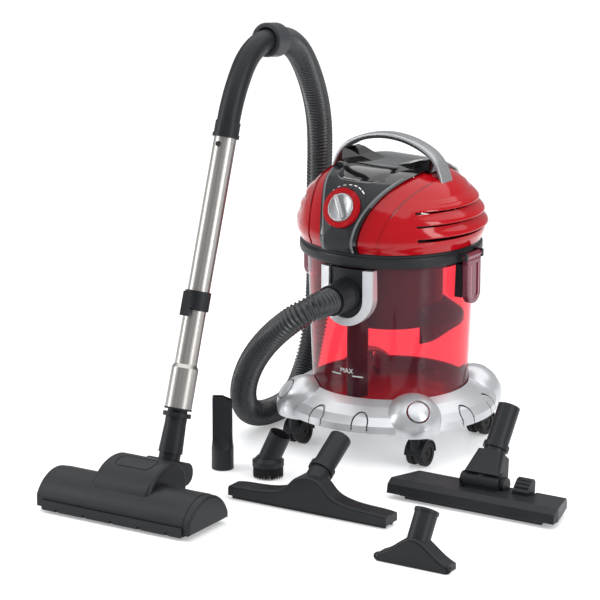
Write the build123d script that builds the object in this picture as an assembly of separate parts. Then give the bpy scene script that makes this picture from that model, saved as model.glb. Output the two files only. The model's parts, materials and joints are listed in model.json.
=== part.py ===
from build123d import *
from math import atan2, cos, degrees, pi, radians, sin, tan
import os

# A wet and dry shop vacuum with its hose, its wand with a turbo head, and five loose nozzles.
# Millimetres. The origin is the tank's axis on the floor; the front faces -Y and +Z is up.

# ---- driving dimensions ----------------------------------------------------------------------
RUNNING_FIT = 0.05            # radial play of a turning pin in its bore
CLEARANCE = 0.4               # gap between neighbours that move apart
NECK_R = 17.5                 # outside of the 35 mm tube family
SOCKET_R = 15.6               # inside of a nozzle's socket
SOCKET_DEPTH = 40.0
DUCT_R = 13.0                 # air duct below the socket

BASE_Z = 54.0                 # lower edge of the caster domes
SKIRT_Z = 60.0                # lower edge of the skirt between them
BASE_R = 175.0
BASE_WALL = 3.0
DECK_Z = 72.0                 # top of the deck that carries the tank
HOOD_R = 48.0                 # domes over the casters
HOOD_CENTRE_R = 140.0
HOOD_CENTRE_Z = 67.0
CORNER_ANGLES = (225, 315, 45, 135)
CAP_R = 16.5
CAP_GAP = 3.2                 # open groove round a cap

CASTER_PIVOT_R = 160.0
WHEEL_R = 20.0
WHEEL_WIDTH = 11.0
WHEEL_TRAIL = 14.0
CASTER_HEADINGS = (90, 90, 270, 270)
FORK_WEB = 8.0
STEM_R = 4.0

TANK_FLOOR_R = 125.0
TANK_TOP_R = 134.0
TANK_WALL = 3.0
TANK_TOP_Z = 328.0
TANK_RIM_R = 142.0
INLET_Z = 274.0
INLET_TOP_Z = 316.0
INLET_BORE_R = 27.0
CUFF_R = 26.6

RING_R = 145.5                # black ring round the top of the tank
RING_BOTTOM_Z = 321.0
HEAD_DECK_Z = 338.0
SHELL_FOOT_Z = 343.4          # lower edge of the covers above the ring
HEAD_TURN = -4.0              # the head and its latches sit turned on the round tank
SHELL = 3.0
DOME_TOP_Z = 462.0
DOME_OUTLINE = ((144, 343.4), (149, 357), (147, 375), (140, 396), (128, 418), (112, 437), (90, 451),
                (60, 459), (28, 461.5))
BAND_OUTLINE = ((147, 343.4), (152, 357), (151, 375), (145, 396), (134, 417), (118, 437), (95, 452),
                (63, 460.5), (28, 463))
BAND_PROUD = 5.0
PANEL_EDGE = ((34, 342), (46, 411), (84, 466))
CREASE_EDGE = ((66, 342), (76, 400), (99, 446))
LOUVRE_HEIGHTS = (412, 392, 372)
LOUVRE_PROUD = 7.0
LOUVRE_SHIFT = 27.0           # how far the louvres' own centre is from the tank's axis
LOUVRE_ANGLE = 80.0

HANDLE_R = 162.0
HANDLE_CENTRE_Z = 348.0
HANDLE_HALF_SPAN = 101.0
HANDLE_THICKNESS = 5.0
DIAL_TILT = 24.0
DIAL_FACE = (0, -136, 411)
BEZEL_R = 32.0
KNOB_R = 23.0

DRUM_R = 84.0
DRUM_BOTTOM_Z = 205.0
FLOAT_R = 21.0
FLOAT_Z = 262.0

LATCH_X = 149.4
LATCH_THICKNESS = 10.6
LATCH_WIDTH = 38.0
LATCH_BOTTOM_Z = 252.0
LATCH_PIVOT = (155.0, 331.0)

WAND_PIVOT = (-135, -449, 45)
WAND_TILT = 19.14
WAND_TUBE_R = 17.5
WAND_SOCKET_R = 21.0
SOCKET_START = 98.0
SOCKET_END = 160.0
TUBE_TOP = 534.0
GRIP_STRAIGHT_END = 545.0
GRIP_MIDDLE = (-135, -228, 636)
GRIP_END = (-135, -146, 668)
COLLAR_HALF = 16.0

HEAD_X = (-275.0, 6.0)
HEAD_END_CAP = 13.0
HEAD_TOP = 57.0
TURBO_WHEEL_X = (-238, -42)
HOOD_X = (-188.0, -82.0)
ROLL_AXIS = (-572, 25)
TURBINE_AXIS = (-528, 60)
BELT_X = -105.5

HOSE_R = 21.5
HOSE_POINTS = (
    (0, -188, 274), (0, -213, 274), (-12, -236, 269), (-34, -247, 253), (-63, -247, 229),
    (-97, -235, 197), (-132, -214, 158), (-166, -182, 112), (-191, -145, 71), (-206, -106, 39),
    (-208, -64, 23), (-203, -20, 22), (-206, 24, 24), (-214, 66, 37), (-220, 99, 66),
    (-221, 119, 106), (-217, 127, 152), (-212, 124, 202), (-207, 117, 252), (-201, 109, 302),
    (-196, 99, 352), (-190, 90, 402), (-182, 79, 452), (-172, 60, 501), (-163, 32, 549),
    (-155, -3, 594), (-147, -41, 630), (-140, -75, 650), (-135, -105.0, 662.0),
    (-135, -129.77, 665.66),
)

CREVICE_AT = (-145, -277)
BRUSH_AT = (-61, -275)
HARD_AT = (85, -383)
UPHOLSTERY_AT = (339, -508)
COMBI_AT = (295, -230)

os.makedirs("parts", exist_ok=True)


# ---- helpers ---------------------------------------------------------------------------------
def save(name, shape):
    """Write one node's STEP file."""
    export_step(shape, f"parts/{name}.step")


def turned(profile):
    """A solid of revolution about Z from (radius, height) points."""
    return revolve(make_face(Polyline(*[(r, 0, z) for r, z in profile], close=True)), Axis.Z)


def across_x(profile, x_from, x_to):
    """A straight extrusion along X of an outline given as (y, z) points."""
    face = make_face(Polyline(*[(x_from, y, z) for y, z in profile], close=True))
    return extrude(face, amount=x_to - x_from, dir=(1, 0, 0))


def rod(start, end, radius, bore=0.0):
    """A round bar or a tube between two points."""
    axis = Vector(*end) - Vector(*start)
    place = Plane(origin=start, z_dir=axis)
    seat = (Align.CENTER, Align.CENTER, Align.MIN)
    body = place * Cylinder(radius, axis.length, align=seat)
    if bore:
        body -= place * Cylinder(bore, axis.length, align=seat)
    return body


def cone_between(start, end, start_radius, end_radius):
    """A tapered round bar between two points."""
    axis = Vector(*end) - Vector(*start)
    seat = (Align.CENTER, Align.CENTER, Align.MIN)
    return Plane(origin=start, z_dir=axis) * Cone(start_radius, end_radius, axis.length, align=seat)


def block(x, y, z):
    """A box from its three (low, high) pairs."""
    size = [high - low for low, high in (x, y, z)]
    middle = [(high + low) / 2 for low, high in (x, y, z)]
    return Pos(*middle) * Box(*size)


def polar(radius, angle, z=0.0):
    """A point at a radius and an angle in degrees round the tank's axis."""
    return (radius * cos(radians(angle)), radius * sin(radians(angle)), z)


def along(origin, direction, distance):
    """The point that lies a distance along a direction from an origin."""
    return tuple(Vector(*origin) + Vector(*direction).normalized() * distance)


def main_solid(shape):
    """The largest solid of a shape."""
    return max(shape.solids(), key=lambda solid: solid.volume)


def both_sides(shape):
    """A shape with its mirror image across the YZ plane."""
    return Compound([shape, mirror(shape, Plane.YZ)])


# ---- base and casters ------------------------------------------------------------------------
def skirt(inset=0.0):
    """The sloping base ring as a full solid, drawn in by an inset."""
    return turned((
        (0, SKIRT_Z), (BASE_R - inset, SKIRT_Z), (BASE_R - 2 - inset, 71 - inset / 2),
        (163 - inset, 83 - inset), (144 - inset, 95 - inset), (127, 103 - inset), (0, 103 - inset),
    ))


def corner_hoods(inset=0.0):
    """The four domes over the casters, drawn in by an inset."""
    domes = []
    for angle in CORNER_ANGLES:
        centre = polar(HOOD_CENTRE_R, angle, HOOD_CENTRE_Z)
        domes.append(Pos(*centre) * Sphere(HOOD_R - inset))
    return domes


def arch_grooves():
    """Inverted-U grooves, two in each stretch of skirt between the domes."""
    width, height, line = 28.0, 30.0, 2.4
    grooves = []
    for middle in (0, 90, 180, 270):
        for offset in (-13.6, 13.6):
            outer = SlotOverall(2 * height, width, rotation=90)
            inner = SlotOverall(2 * height - 2 * line, width - 2 * line, rotation=90)
            foot = polar(130, middle + offset, SKIRT_Z - 1)
            across = Plane(origin=foot, z_dir=polar(1, middle + offset))
            grooves.append(across * extrude(outer - inner, 60))
    return grooves


def base_ring():
    """Painted base ring: skirt, four caster domes, a deck under the tank and stem bosses."""
    outside = skirt()
    inside = skirt(BASE_WALL)
    for dome, hollow in zip(corner_hoods(), corner_hoods(BASE_WALL)):
        outside += dome
        inside += hollow
    outside &= block((-200, 200), (-200, 200), (BASE_Z, 120))
    skin = outside - (skirt(1.2) + corner_hoods())
    ring = outside - inside
    for groove in arch_grooves():
        ring -= groove & skin
    deck = turned(((0, DECK_Z - 4), (BASE_R, DECK_Z - 4), (BASE_R, DECK_Z), (0, DECK_Z)))
    ring += deck & outside
    for angle in CORNER_ANGLES:
        ring += rod(polar(CASTER_PIVOT_R, angle, BASE_Z), polar(CASTER_PIVOT_R, angle, 100), 10)
        ring -= rod(polar(CASTER_PIVOT_R, angle, 50), polar(CASTER_PIVOT_R, angle, 78),
                    STEM_R + RUNNING_FIT)
    ring -= turned(((0, DECK_Z), (TANK_FLOOR_R + 2, DECK_Z), (TANK_FLOOR_R + 3, 130), (0, 130)))
    for angle in CORNER_ANGLES:
        ring -= cap_disc(angle, CAP_R + CAP_GAP, 3.0, 30)
    return ring


def cap_disc(angle, radius, depth, reach):
    """A round plug lying in the face of one caster dome."""
    centre = polar(HOOD_CENTRE_R, angle, HOOD_CENTRE_Z)
    outward = polar(0.766, angle, 0.643)
    face = HOOD_R * cos(radians(24))
    return rod(along(centre, outward, face - depth), along(centre, outward, face + reach), radius)


def base_caps():
    """Four domed discs set in the caster domes."""
    caps = []
    for angle, dome in zip(CORNER_ANGLES, corner_hoods(1.0)):
        caps.append(cap_disc(angle, CAP_R, 3.0, 30) & dome)
    return Compound(caps)


def caster_fork(angle, heading):
    """Hooded centre web of a twin-wheel caster with its stem."""
    pivot = Vector(*polar(CASTER_PIVOT_R, angle))
    trail = Vector(cos(radians(heading)), sin(radians(heading)), 0) * WHEEL_TRAIL
    axle = pivot + trail + Vector(0, 0, WHEEL_R)
    across = Vector(-trail.Y, trail.X, 0).normalized()
    half = FORK_WEB / 2 + WHEEL_WIDTH + 1
    web = rod(axle - across * FORK_WEB / 2, axle + across * FORK_WEB / 2, WHEEL_R - 3)
    hood = rod(axle - across * half, axle + across * half, WHEEL_R + 3.6)
    hood -= rod(axle - across * half, axle + across * half, WHEEL_R + 1.2)
    hood &= Pos(axle.X, axle.Y, 40 + axle.Z) * Box(120, 120, 80)
    rib = rod(axle - across * FORK_WEB / 2, axle + across * FORK_WEB / 2, WHEEL_R + 2)
    rib &= Pos(axle.X, axle.Y, 40 + axle.Z) * Box(120, 120, 80)
    post = rod(pivot + Vector(0, 0, 28), pivot + Vector(0, 0, 51), 9)
    post -= rod(axle - across * half, axle + across * half, WHEEL_R + 1.2)
    stem = rod(pivot + Vector(0, 0, 45), pivot + Vector(0, 0, 76), STEM_R)
    fork = web + hood + rib + post + stem
    return fork - rod(axle - across * half, axle + across * half, 3 + RUNNING_FIT)


def caster_wheels(angle, heading):
    """Twin wheels on their axle."""
    pivot = Vector(*polar(CASTER_PIVOT_R, angle))
    trail = Vector(cos(radians(heading)), sin(radians(heading)), 0) * WHEEL_TRAIL
    axle = pivot + trail + Vector(0, 0, WHEEL_R)
    across = Vector(-trail.Y, trail.X, 0).normalized()
    near = FORK_WEB / 2 + CLEARANCE
    far = near + WHEEL_WIDTH
    pair = rod(axle - across * far, axle + across * far, 3)
    for side in (-1, 1):
        wheel = rod(axle + across * side * near, axle + across * side * far, WHEEL_R)
        wheel = fillet(wheel.edges().filter_by(GeomType.CIRCLE), 1.6)
        wheel -= rod(axle + across * side * (far - 1.5), axle + across * side * (far + 1), 12)
        pair += wheel
    return pair


# ---- tank, inlet and hose --------------------------------------------------------------------
def tank_radius(z):
    """Outside radius of the tank wall at a height."""
    share = (z - DECK_Z - 6) / (TANK_TOP_Z - 12 - DECK_Z)
    return TANK_FLOOR_R + share * (TANK_TOP_R - TANK_FLOOR_R)


def tank():
    """Clear tank with a rolled rim and the inlet hole in its front."""
    inner = TANK_FLOOR_R - TANK_WALL
    shell = turned((
        (0, DECK_Z), (TANK_FLOOR_R - 6, DECK_Z), (TANK_FLOOR_R, DECK_Z + 6),
        (TANK_TOP_R, TANK_TOP_Z - 6), (TANK_RIM_R, TANK_TOP_Z - 6), (TANK_RIM_R, TANK_TOP_Z),
        (TANK_TOP_R - TANK_WALL, TANK_TOP_Z), (inner + 0.3, DECK_Z + 9), (inner - 5, DECK_Z + 3.5),
        (0, DECK_Z + 3.5),
    ))
    return shell - rod((0, -100, INLET_Z), (0, -160, INLET_Z), 30)


def inlet_outline(half_width, bottom_z):
    """A U-shaped prism along Y, open upwards, wide enough to cut a trim from."""
    middle_z = bottom_z + half_width
    outline = block((-half_width, half_width), (-165, -100), (middle_z, INLET_TOP_Z))
    outline += rod((0, -165, middle_z), (0, -100, middle_z), half_width)
    return outline & block((-60, 60), (-170, -90), (200, INLET_TOP_Z))


def front_wrap(outer, top_z=330):
    """The tank's surroundings out to a radius, for pieces that wrap its front."""
    wrap = turned(((0, 200), (outer, 200), (outer, top_z), (0, top_z)))
    return wrap - turned((
        (0, 190), (tank_radius(190), 190), (tank_radius(top_z), top_z), (0, top_z),
    ))


def inlet_housing():
    """Dark inlet block on the tank front with the cuff's bore."""
    body = inlet_outline(31, 236) & front_wrap(141)
    body += rod((0, -126, INLET_Z), (0, -138, INLET_Z), 29.8)
    return body - rod((0, -120, INLET_Z), (0, -170, INLET_Z), INLET_BORE_R)


def inlet_trim():
    """Silver U round the inlet block."""
    return (inlet_outline(47, 224) - inlet_outline(31, 236)) & front_wrap(146)


def inlet_down_tube():
    """Duct inside the tank that turns the flow down from the inlet."""
    elbow = rod((0, -126, INLET_Z), (0, -106, INLET_Z), 22)
    down = rod((0, -104, 100), (0, -104, 292), 17)
    bore = rod((0, -127, INLET_Z), (0, -106, INLET_Z), 19.5) + rod((0, -104, 99), (0, -104, 289), 15)
    return (elbow + down) - bore


def tank_lugs():
    """Dark catch brackets on both sides of the tank."""
    lug = block((125, 144), (-14, 14), (262, 315.7)) - block((137, 150), (-9, 9), (268, 308))
    lug -= turned(((0, 240), (tank_radius(240), 240), (tank_radius(316), 316), (0, 316)))
    return both_sides(lug)


def hose_cuff():
    """Cuff that plugs the hose into the inlet."""
    cuff = rod((0, -126.5, INLET_Z), (0, -152, INLET_Z), CUFF_R)
    cuff += cone_between((0, -152, INLET_Z), (0, -172, INLET_Z), CUFF_R - 1, 24.5)
    cuff += rod((0, -172, INLET_Z), (0, -188, INLET_Z), 24.5)
    return cuff - rod((0, -121, INLET_Z), (0, -189, INLET_Z), 18)


def hose():
    """The suction hose as a plain round tube along its route."""
    points = [Vector(*point) for point in HOSE_POINTS]
    runs = [after - before for before, after in zip(points, points[1:])]
    radii = []
    for before, after in zip(runs, runs[1:]):
        half_turn = radians(before.get_angle(after)) / 2
        radii.append(0.45 * min(before.length, after.length) / tan(half_turn))
    route = FilletPolyline(*points, radius=radii)
    tube = sweep(Plane(origin=points[0], z_dir=runs[0]) * Circle(HOSE_R), path=route)
    return tube


# ---- head ------------------------------------------------------------------------------------
def head_turned(shape):
    """A piece of the head or a latch in its turned place on the tank."""
    return Rot(0, 0, HEAD_TURN) * shape


def outline_radius(height):
    """The dome's radius at a height."""
    points = zip(DOME_OUTLINE, DOME_OUTLINE[1:])
    for (low_r, low_z), (high_r, high_z) in points:
        if height <= high_z:
            return low_r + (high_r - low_r) * (height - low_z) / (high_z - low_z)
    return DOME_OUTLINE[-1][0]


def rounded_outline(points, inset):
    """Half an outline of (distance, height) points drawn in by an inset along its normals."""
    half = [(points[0][0] - inset, points[0][1])]
    for before, (out, z), after in zip(points, points[1:], [*points[2:], (0, DOME_TOP_Z)]):
        along_outline = Vector(after[0] - before[0], after[1] - before[1]).normalized()
        half.append((out - inset * along_outline.Y, z + inset * along_outline.X))
    return half


def dome(inset=0.0):
    """The head's round dome as a full solid, drawn in by an inset."""
    half = rounded_outline(DOME_OUTLINE, inset)
    top = DOME_TOP_Z - inset
    curve = Spline(*[(r, 0, z) for r, z in half], (0, 0, top), tangents=((0.25, 0, 1), (-1, 0, 0)))
    foot = (0, 0, SHELL_FOOT_Z)
    face = make_face([curve, Line((0, 0, top), foot), Line(foot, (half[0][0], 0, SHELL_FOOT_Z))])
    return revolve(face, Axis.Z)


def band(inset=0.0):
    """The raised band that runs over the dome from front to back, drawn in by an inset."""
    half = rounded_outline(BAND_OUTLINE, inset)
    top = DOME_TOP_Z - inset + 0.5
    over = [(-110, -y, z) for y, z in half] + [(-110, 0, top)]
    over += [(-110, y, z) for y, z in reversed(half)]
    curve = Spline(*over)
    face = make_face([curve, Line(over[-1], over[0])])
    return extrude(face, amount=220, dir=(1, 0, 0)) & dome(inset - BAND_PROUD)


def between_edges(edge, gap=0.0):
    """The part of the head between two mirrored edge curves seen from the front."""
    (x0, z0), (x1, z1), (x2, z2) = [(x + gap, z) for x, z in edge]
    right = ThreePointArc((x0, -200, z0), (x1, -200, z1), (x2, -200, z2))
    left = ThreePointArc((-x2, -200, z2), (-x1, -200, z1), (-x0, -200, z0))
    top = Polyline((x2, -200, z2), (x2, -200, 480), (-x2, -200, 480), (-x2, -200, z2))
    foot = Line((-x0, -200, z0), (x0, -200, z0))
    return extrude(make_face([right, top, left, foot]), amount=400, dir=(0, 1, 0))


def dial_point(outward):
    """A point on the dial's axis, measured outwards from its seat."""
    axis = (0, -cos(radians(DIAL_TILT)), sin(radians(DIAL_TILT)))
    return along(DIAL_FACE, axis, outward)


def centre_cover():
    """Black band cover with the dial's seat and the handle's end supports."""
    skin = (dome() + band()) & between_edges(PANEL_EDGE)
    boss = rod(dial_point(-22), dial_point(0), BEZEL_R + 1.5)
    support = make_face(Polyline((83, 0, 452), (83, 0, 474), (78, 0, 477), (66, 0, 475),
                                 (50, 0, 469), (30, 0, 464), (8, 0, 460), (8, 0, 452), close=True))
    support = extrude(support, amount=19, both=True)
    skin += [support, mirror(support, Plane.YZ)]
    cover = (skin + boss) - (dome(SHELL) + band(SHELL))
    cover += boss - rod(dial_point(-30), dial_point(-3), BEZEL_R - 2)
    cover -= rod(dial_point(0), dial_point(30), BEZEL_R + 1.5)
    return cover - rod(dial_point(-30), dial_point(1), STEM_R + RUNNING_FIT)


def side_shell():
    """Glossy right-hand shell with a raised wing and three louvres."""
    wall = dome() - dome(SHELL)
    raised = (dome(-1.6) - dome(1)) - between_edges(CREASE_EDGE)
    body = (wall + raised) - between_edges(PANEL_EDGE, 0.3)
    sector = louvre_sector(LOUVRE_ANGLE + 6)
    for z in LOUVRE_HEIGHTS:
        body += (louvre_blade(z) & sector) - dome(2)
    for z in LOUVRE_HEIGHTS:
        slot = turned(((100, z - 9), (170, z - 9), (170, z - 3), (100, z - 3)))
        body -= slot & louvre_sector(LOUVRE_ANGLE)
    return main_solid(body & block((5, 200), (-200, 200), (SHELL_FOOT_Z, DOME_TOP_Z + 5)))


def louvre_blade(z):
    """A crescent blade that stands proud of the shell and dies away at both ends."""
    lip = outline_radius(z) + LOUVRE_PROUD - LOUVRE_SHIFT
    crown = outline_radius(z + 13) - LOUVRE_SHIFT
    inner = crown - 8
    profile = ((inner, z - 3), (lip - 1, z - 3), (lip, z - 1.5), (lip - 0.6, z + 2),
               (lip - 3, z + 6), (crown, z + 13), (inner, z + 13))
    return Pos(LOUVRE_SHIFT, 0, 0) * turned(profile)


def louvre_sector(spread):
    """A wedge of space facing +X that is a number of degrees wide."""
    reach = 260.0
    half = radians(spread / 2)
    corners = ((0, 0), (reach, -reach * tan(half)), (reach, reach * tan(half)))
    face = make_face(Polyline(*[(x, y, 330) for x, y in corners], close=True))
    return extrude(face, amount=100, dir=(0, 0, 1))


def head_base():
    """Black ring and deck that close the tank and carry the motor."""
    ring = turned((
        (30, 334), (126, 334), (126, 312), (129, 312), (129, 334), (133, 334), (133, 332),
        (140, 332), (140, 334), (142.6, 334), (142.6, RING_BOTTOM_Z), (RING_R, RING_BOTTOM_Z),
        (RING_R + 1.5, 325), (RING_R + 1.5, 334), (RING_R, 337.5), (143.8, 338.5), (143.8, 341.5),
        (142.5, SHELL_FOOT_Z - CLEARANCE), (138.5, SHELL_FOOT_Z - CLEARANCE), (138.5, HEAD_DECK_Z),
        (30, HEAD_DECK_Z),
    ))
    side = LATCH_WIDTH / 2
    ear = block((142, 160), (side + 0.5, side + 6), (325, 337))
    ear += mirror(ear, Plane.XZ)
    ear -= turned(((0, 300), (142.6, 300), (142.6, 334), (138, 338), (0, 338)))
    pin = rod((LATCH_PIVOT[0], -30, LATCH_PIVOT[1]), (LATCH_PIVOT[0], 30, LATCH_PIVOT[1]),
              2 + RUNNING_FIT)
    for side in (ear, mirror(ear, Plane.YZ)):
        ring += side
    return ring - pin - mirror(pin, Plane.YZ)


def latch():
    """Clear side latch: a plate with a rounded foot, a window recess and a hinge barrel."""
    half = LATCH_WIDTH / 2
    outside = LATCH_X + LATCH_THICKNESS
    middle = LATCH_BOTTOM_Z + half
    plate = block((LATCH_X, outside), (-half, half), (middle, LATCH_PIVOT[1] - 5))
    plate += rod((LATCH_X, 0, middle), (outside, 0, middle), half)
    plate = fillet(plate.edges().filter_by_position(Axis.X, outside - 0.01, outside + 0.01), 2.5)
    plate -= block((outside - 1.6, outside + 3), (-9, 9), (middle - 2, 318))
    plate -= rod((outside - 1.6, 0, middle - 2), (outside + 3, 0, middle - 2), 9)
    pivot_x, pivot_z = LATCH_PIVOT
    barrel = rod((pivot_x, -half, pivot_z), (pivot_x, half, pivot_z), 5)
    neck = block((pivot_x - 4, pivot_x + 4), (-half, half), (pivot_z - 7, pivot_z))
    hook = block((144.4, LATCH_X + 1), (-8, 8), (296, 302))
    studs = rod((pivot_x, -half - 6, pivot_z), (pivot_x, half + 6, pivot_z), 2)
    return plate + barrel + neck + hook + studs


def head_gasket():
    """Rubber ring that seals the head on the tank rim."""
    top = TANK_TOP_Z + CLEARANCE
    return turned(((133, top), (140, top), (140, 332), (133, 332)))


def handle_strap(outer, thickness, width):
    """A curved strap over the head along X."""
    inner = outer - thickness
    seat = Pos(0, 0, HANDLE_CENTRE_Z) * Rot(90, 0, 0)
    strap = seat * (Cylinder(outer, width) - Cylinder(inner, width))
    limit = HANDLE_HALF_SPAN + 2
    return strap & block((-limit, limit), (-40, 40), (440, 530))


def carry_handle():
    """Silver top of the carry handle, wider where it lands on the shells."""
    strap = handle_strap(HANDLE_R, HANDLE_THICKNESS, 26)
    foot = block((86, 106), (-15, 15), (430, 490)) & handle_strap(HANDLE_R + 2, 60, 30)
    foot -= dome(-1.6 - CLEARANCE)
    return strap + foot + mirror(foot, Plane.YZ)


def handle_grip():
    """Dark underside of the carry handle."""
    grip = handle_strap(HANDLE_R - HANDLE_THICKNESS, HANDLE_THICKNESS, 22)
    return grip & block((-78, 78), (-40, 40), (474, 530))


def dial_bezel():
    """Red ring round the dial."""
    ring = rod(dial_point(0), dial_point(7), BEZEL_R, KNOB_R + CLEARANCE)
    return ring


def dial_knob():
    """Silver knob with a grip bar and its spindle."""
    knob = rod(dial_point(0.6), dial_point(9), KNOB_R)
    face = Plane(origin=dial_point(9), z_dir=Vector(*dial_point(10)) - Vector(*dial_point(9)))
    knob += face * (Rot(0, 0, 35) * Pos(0, 0, 4) * Box(8, 42, 8))
    return knob + rod(dial_point(-14), dial_point(1), STEM_R)


def float_ball():
    """Hollow ball that closes the fan's intake when the tank is full."""
    return Pos(0, 0, FLOAT_Z) * (Sphere(FLOAT_R) - Sphere(FLOAT_R - 1.5))


def fan_housing():
    """Scroll cover round the fan."""
    return turned((
        (63, HEAD_DECK_Z), (66, HEAD_DECK_Z), (66, 364), (12, 364), (12, 361), (63, 361),
    ))


def fan_impeller():
    """Fan wheel with its shaft."""
    disc = turned(((0, 343), (56, 343), (56, 345), (12, 345), (12, 357), (4, 357), (4, 392), (0, 392)))
    for step in range(12):
        blade = block((14, 54), (-0.8, 0.8), (344, 355))
        disc += Rot(0, 0, step * 30) * blade
    return disc


def motor_unit():
    """Motor can on top of its fan cover, with the shaft's lower bearing."""
    can = turned(((8, 364), (50, 364), (50, 372), (44, 376), (44, 414), (36, 420), (8, 420)))
    bearing = turned(((4 + RUNNING_FIT, 378), (12, 378), (12, 396), (4 + RUNNING_FIT, 396)))
    return fan_housing() + can + bearing


def filter_drum():
    """Dark filter bucket that hangs in the tank."""
    bucket = turned((
        (0, DRUM_BOTTOM_Z), (DRUM_R - 4, DRUM_BOTTOM_Z), (DRUM_R, DRUM_BOTTOM_Z + 4), (DRUM_R, 330),
        (92, 330), (92, 334), (DRUM_R - SHELL, 334), (DRUM_R - SHELL, DRUM_BOTTOM_Z + 5),
        (0, DRUM_BOTTOM_Z + 3),
    ))
    return bucket + splash_wing()


def filter_element():
    """Foam filter sleeve inside the bucket."""
    return turned(((50, 214), (72, 214), (72, 330), (50, 330)))


def float_cage():
    """Slotted cage that guides the float ball below the fan's intake."""
    cage = turned(((0, 232), (27, 232), (27, 328), (44, 330), (44, 334), (24, 334), (24, 236), (0, 236)))
    for step in range(6):
        cage -= Rot(0, 0, step * 60) * block((20, 30), (-7, 7), (244, 322))
    return cage


def splash_wing():
    """Sloping wing round the right and rear of the filter bucket."""
    ring = turned(((DRUM_R - 1, 178), (118, 204), (118, 214), (DRUM_R - 1, 240)))
    ring -= turned(((0, 170), (DRUM_R - 4, 170), (DRUM_R - 4, 204), (0, 204)))
    corners = [(0, 0)] + [polar(300, angle)[:2] for angle in (-22, 30, 80, 128)]
    face = make_face(Polyline(*[(x, y, 170) for x, y in corners], close=True))
    return ring & extrude(face, amount=80, dir=(0, 0, 1))


def power_gland():
    """Moulded gland for the supply lead at the back of the head."""
    return rod((0, 147.1, 329), (0, 158, 329), 4.4, 2.5) + rod((0, 147.1, 329), (0, 149, 329), 4.8, 2.5)


# ---- wand ------------------------------------------------------------------------------------
WAND_UP = (0, sin(radians(WAND_TILT)), cos(radians(WAND_TILT)))
WAND_BACK = (0, cos(radians(WAND_TILT)), -sin(radians(WAND_TILT)))


def wand_at(distance, back=0.0, side=0.0):
    """A point measured from the pivot up the wand, out to its back and to its side."""
    point = Vector(*WAND_PIVOT) + Vector(*WAND_UP) * distance + Vector(*WAND_BACK) * back
    return tuple(point + Vector(side, 0, 0))


def neck():
    """Black neck of the turbo head: hinge barrel, duct, flange and the spigot in the tube."""
    barrel = rod(wand_at(0, 0, -22.6), wand_at(0, 0, 22.6), 18)
    studs = rod(wand_at(0, 0, -36), wand_at(0, 0, 36), 5)
    duct = rod(wand_at(0), wand_at(88), 16.8)
    taper = cone_between(wand_at(28), wand_at(70), 19, 17)
    flange = rod(wand_at(84), wand_at(91), 22)
    spigot = rod(wand_at(90), wand_at(150), 15.4)
    body = barrel + studs + duct + taper + flange + spigot
    return body - rod(wand_at(20), wand_at(151), 13)


def wand_tube():
    """Steel tube with its lower end opened out into a socket."""
    inside = WAND_TUBE_R - 1.2
    wide = WAND_SOCKET_R - 1.2
    tube = rod(wand_at(SOCKET_START), wand_at(SOCKET_END), WAND_SOCKET_R, wide)
    tube += rod(wand_at(SOCKET_END + 6), wand_at(TUBE_TOP), WAND_TUBE_R, inside)
    taper = cone_between(wand_at(SOCKET_END), wand_at(SOCKET_END + 6), WAND_SOCKET_R, WAND_TUBE_R)
    tube += taper - cone_between(wand_at(SOCKET_END), wand_at(SOCKET_END + 6), wide, inside)
    return tube - rod(wand_at(508, -10), wand_at(508, -30), 4.3)


def socket_ring():
    """Dark sleeve between the neck's spigot and the tube's socket."""
    sleeve = rod(wand_at(SOCKET_START - 3), wand_at(SOCKET_END), WAND_SOCKET_R - 1.2, 15.4)
    lip = rod(wand_at(SOCKET_START - 3), wand_at(SOCKET_START), WAND_SOCKET_R + 0.6, 15.4)
    return sleeve + lip


def parking_clip():
    """Black clip round the tube with a hook that parks the wand."""
    ring = rod(wand_at(250), wand_at(280), 20.5, WAND_TUBE_R)
    arm = Plane(origin=wand_at(265, -23), z_dir=WAND_UP, x_dir=(1, 0, 0)) * Box(15, 8, 24)
    hook = Plane(origin=wand_at(258, -29), z_dir=WAND_UP, x_dir=(1, 0, 0)) * Box(15, 4, 38)
    return ring + (arm - rod(wand_at(250), wand_at(280), 19)) + hook


def lock_button():
    """Spring button that snaps through the tube wall near its top."""
    return rod(wand_at(508, -15.6), wand_at(508, -19.5), 4)


def grip_bend():
    """Centre line of the grip's bend: a gentle arc, then a tighter one to the hose collar."""
    gentle = TangentArc(wand_at(GRIP_STRAIGHT_END), GRIP_MIDDLE, tangent=WAND_UP)
    tight = TangentArc(GRIP_MIDDLE, GRIP_END, tangent=gentle % 1)
    return Wire([gentle, tight])


def grip():
    """Bent black hand grip with a sleeve over the tube."""
    seat = Plane(origin=wand_at(GRIP_STRAIGHT_END), z_dir=WAND_UP)
    bent = sweep(seat * (Circle(18) - Circle(14.5)), path=grip_bend())
    sleeve = rod(wand_at(520), wand_at(GRIP_STRAIGHT_END), 19.6, WAND_TUBE_R)
    stop = rod(wand_at(TUBE_TOP), wand_at(GRIP_STRAIGHT_END), 18, 14.5)
    ring = rod(wand_at(520), wand_at(526), 21, WAND_TUBE_R)
    body = bent + sleeve + stop + ring
    slot = Plane(origin=wand_at(538, 19), z_dir=WAND_UP, x_dir=(1, 0, 0)) * Box(10, 6, 6)
    return body - slot


def grip_end_direction():
    """Unit direction in which the grip's bend ends."""
    return tuple(grip_bend() % 1)


def swivel_collar():
    """Round collar that lets the hose turn on the grip."""
    out = grip_end_direction()
    start = along(GRIP_END, out, -COLLAR_HALF)
    end = along(GRIP_END, out, COLLAR_HALF)
    collar = rod(start, end, 27)
    collar = fillet(collar.edges().filter_by(GeomType.CIRCLE), 2.5)
    return collar - rod(start, along(GRIP_END, out, 0.6), 20) - rod(start, end, 16)


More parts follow.
